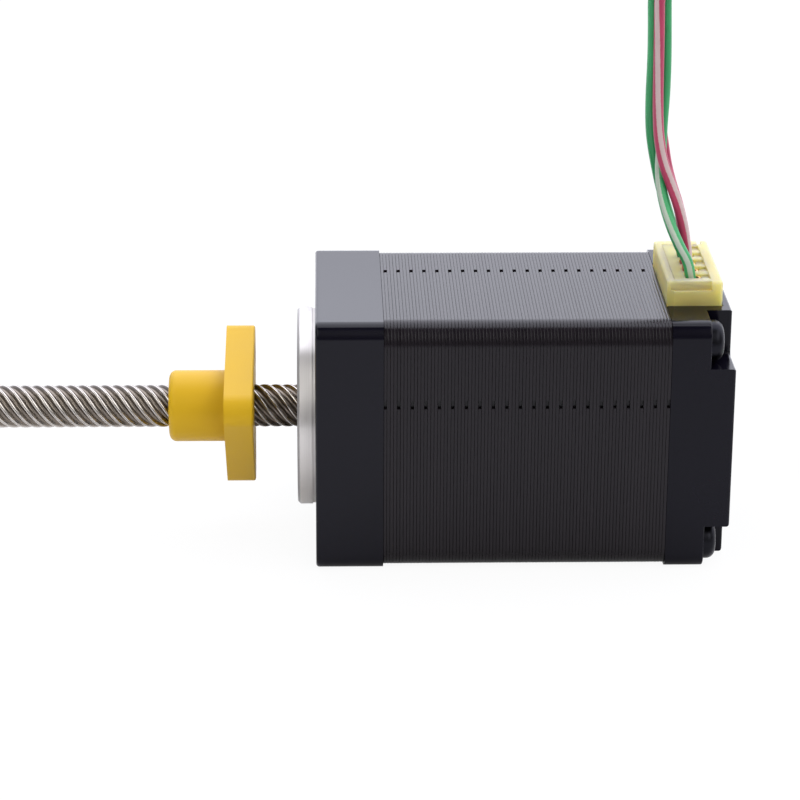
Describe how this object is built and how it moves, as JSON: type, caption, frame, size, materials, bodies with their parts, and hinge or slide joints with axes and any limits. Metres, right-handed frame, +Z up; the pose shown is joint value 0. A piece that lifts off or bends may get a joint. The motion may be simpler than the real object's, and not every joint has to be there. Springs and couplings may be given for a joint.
{
  "type": "linear stepper motor",
  "caption": "Square linear stepper motor with a laminated body, a long lead screw, a flanged plastic nut and a plug-in wire lead on top.",
  "frame": {"origin": "centre of the front mounting face, on the screw axis", "axes": "+X along the axis towards the rear cap, so the lead screw points to -X; +Z up, on the connector's side"},
  "size_m": [0.1842, 0.0412, 0.0751],
  "materials": {
    "black_enamel": "satin black paint on a die casting, pilot boss turned bright",
    "lamination_steel": "dark edges of stacked sheets, painted black",
    "insulator_plastic": "moulded",
    "enamelled_copper": "enamelled winding wire",
    "bearing_steel": "ground",
    "cage_steel": "pressed sheet",
    "board_laminate": "solder mask",
    "natural_nylon": "translucent natural moulding",
    "contact_tin": "tin plated",
    "black_screw_steel": "black oxide",
    "green_insulation": "smooth",
    "green_striped_insulation": "smooth, with a white stripe",
    "red_insulation": "smooth",
    "red_striped_insulation": "smooth, with a white stripe",
    "tie_plastic": "moulded strap",
    "screw_steel": "rolled stainless thread",
    "rotor_steel": "ground laminations",
    "magnet_alloy": "plated magnet",
    "shaft_brass": "turned",
    "nut_plastic": "smooth moulded, golden yellow"
  },
  "bodies": {
    "stator": {"front_end_cap": "black_enamel", "rear_end_cap": "black_enamel", "stator_core": "lamination_steel", "front_insulator": "insulator_plastic", "rear_insulator": "insulator_plastic", "phase_a_coils": "enamelled_copper", "phase_b_coils": "enamelled_copper", "front_bearing_outer_ring": "bearing_steel", "front_bearing_shields": "cage_steel", "rear_bearing_outer_ring": "bearing_steel", "rear_bearing_shields": "cage_steel", "wave_washer": "cage_steel", "terminal_board": "board_laminate", "header_housing": "natural_nylon", "header_pins": "contact_tin", "plug_housing": "natural_nylon", "crimp_contacts": "contact_tin", "case_screws": "black_screw_steel", "wire_green_striped": "green_striped_insulation", "wire_red": "red_insulation", "wire_red_striped": "red_striped_insulation", "wire_green": "green_insulation", "wire_coil": "green_insulation", "coil_tie": "tie_plastic"},
    "rotor": {"lead_screw": "screw_steel", "front_rotor_cup_outer": "rotor_steel", "front_rotor_magnet": "magnet_alloy", "front_rotor_cup_inner": "rotor_steel", "rotor_spacer": "shaft_brass", "rear_rotor_cup_outer": "rotor_steel", "rear_rotor_magnet": "magnet_alloy", "rear_rotor_cup_inner": "rotor_steel", "front_shaft_sleeve": "shaft_brass", "rear_shaft_sleeve": "shaft_brass", "front_bearing_inner_ring": "bearing_steel", "rear_bearing_inner_ring": "bearing_steel"},
    "nut": {"lead_nut": "nut_plastic"},
    "front_ball_set": {"front_bearing_balls": "bearing_steel", "front_bearing_cage": "cage_steel"},
    "rear_ball_set": {"rear_bearing_balls": "bearing_steel", "rear_bearing_cage": "cage_steel"}
  },
  "joints": [
    {"name": "rotor_spin", "type": "hinge", "parent": "stator", "child": "rotor", "pos_m": [0, 0, 0], "axis": [1, 0, 0], "range_deg": [-156, 2905]},
    {"name": "nut_travel", "type": "slide", "parent": "stator", "child": "nut", "axis": [-1, 0, 0], "range_m": [-0.0045, 0.0821]},
    {"name": "front_balls_orbit", "type": "hinge", "parent": "stator", "child": "front_ball_set", "pos_m": [0.0026, 0, 0], "axis": [1, 0, 0], "range_deg": [-63, 1166]},
    {"name": "rear_balls_orbit", "type": "hinge", "parent": "stator", "child": "rear_ball_set", "pos_m": [0.0416, 0, 0], "axis": [1, 0, 0], "range_deg": [-63, 1166]}
  ],
  "couplings": [
    {"joint": "nut_travel", "follows": "rotor_spin", "m_per_rad": 0.001617},
    {"joint": "front_balls_orbit", "follows": "rotor_spin", "ratio": 0.40087},
    {"joint": "rear_balls_orbit", "follows": "rotor_spin", "ratio": 0.40087}
  ]
}
